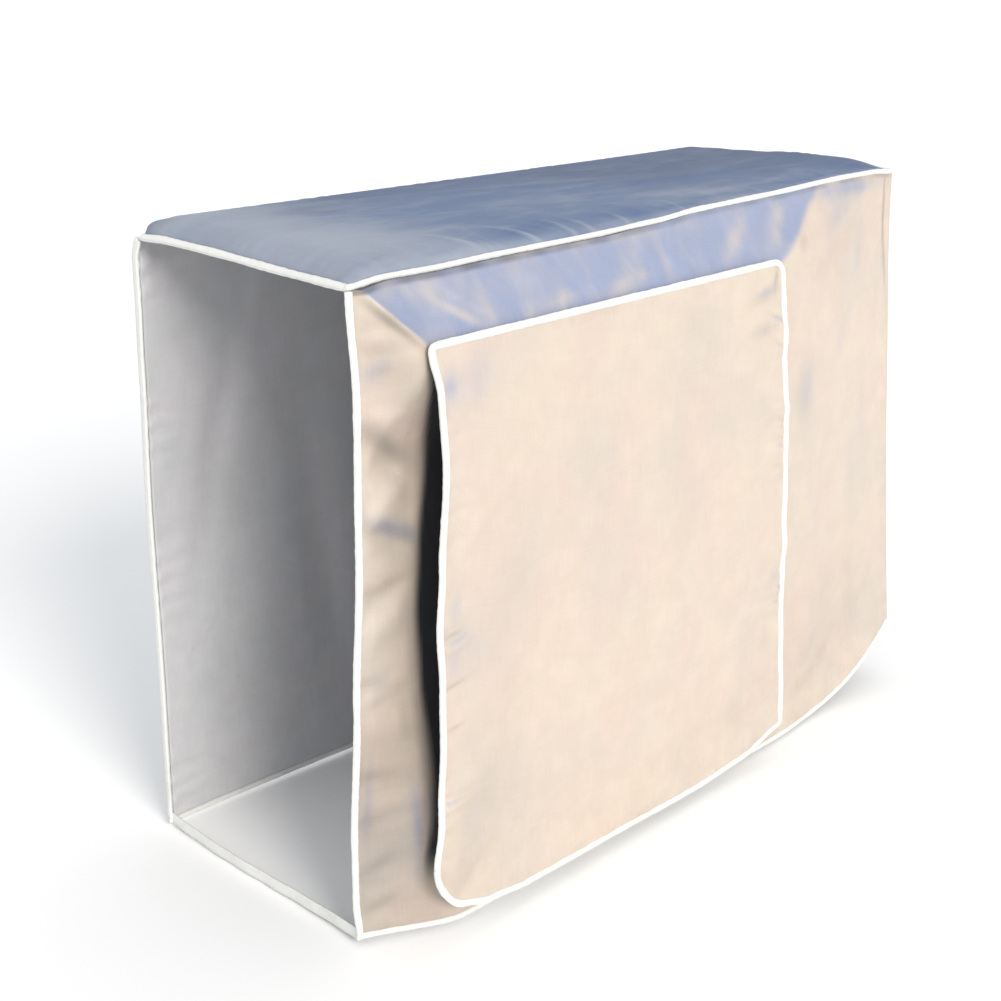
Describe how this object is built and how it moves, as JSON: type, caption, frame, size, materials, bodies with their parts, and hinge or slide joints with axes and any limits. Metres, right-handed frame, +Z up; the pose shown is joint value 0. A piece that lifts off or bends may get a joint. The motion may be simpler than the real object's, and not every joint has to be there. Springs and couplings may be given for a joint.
{
  "type": "fitted cloth cover for an air conditioner's outdoor unit",
  "caption": "Hollow silver-coated cloth cover in the hung shape of a box, open at its left end and foot, with a hipped hood and a loose bound flap over the air outlet at the front.",
  "frame": {"origin": "middle of the underside of the top cloth, where the outdoor unit carries the cover", "axes": "+X along the front from the open left end to the closed right end, +Y from the front to the back, +Z up"},
  "size_m": [0.983, 0.4196, 0.7454],
  "materials": {
    "top_cloth": "silver-coated plain weave, soft metallic sheen, blue-grey where it faces up",
    "front_cloth": "silver-coated plain weave, soft metallic sheen, warm cream",
    "end_cloth": "silver-coated plain weave, soft metallic sheen",
    "binding_tape": "white woven binding tape, matt"
  },
  "bodies": {
    "root": {"top_panel": "top_cloth", "front_panel": "front_cloth", "front_flap": "front_cloth", "right_panel": "end_cloth", "back_panel": "end_cloth", "foot_band": "binding_tape", "top_binding": "binding_tape", "left_front_binding": "binding_tape", "left_back_binding": "binding_tape", "hem_binding": "binding_tape", "flap_binding": "binding_tape"}
  },
  "joints": []
}
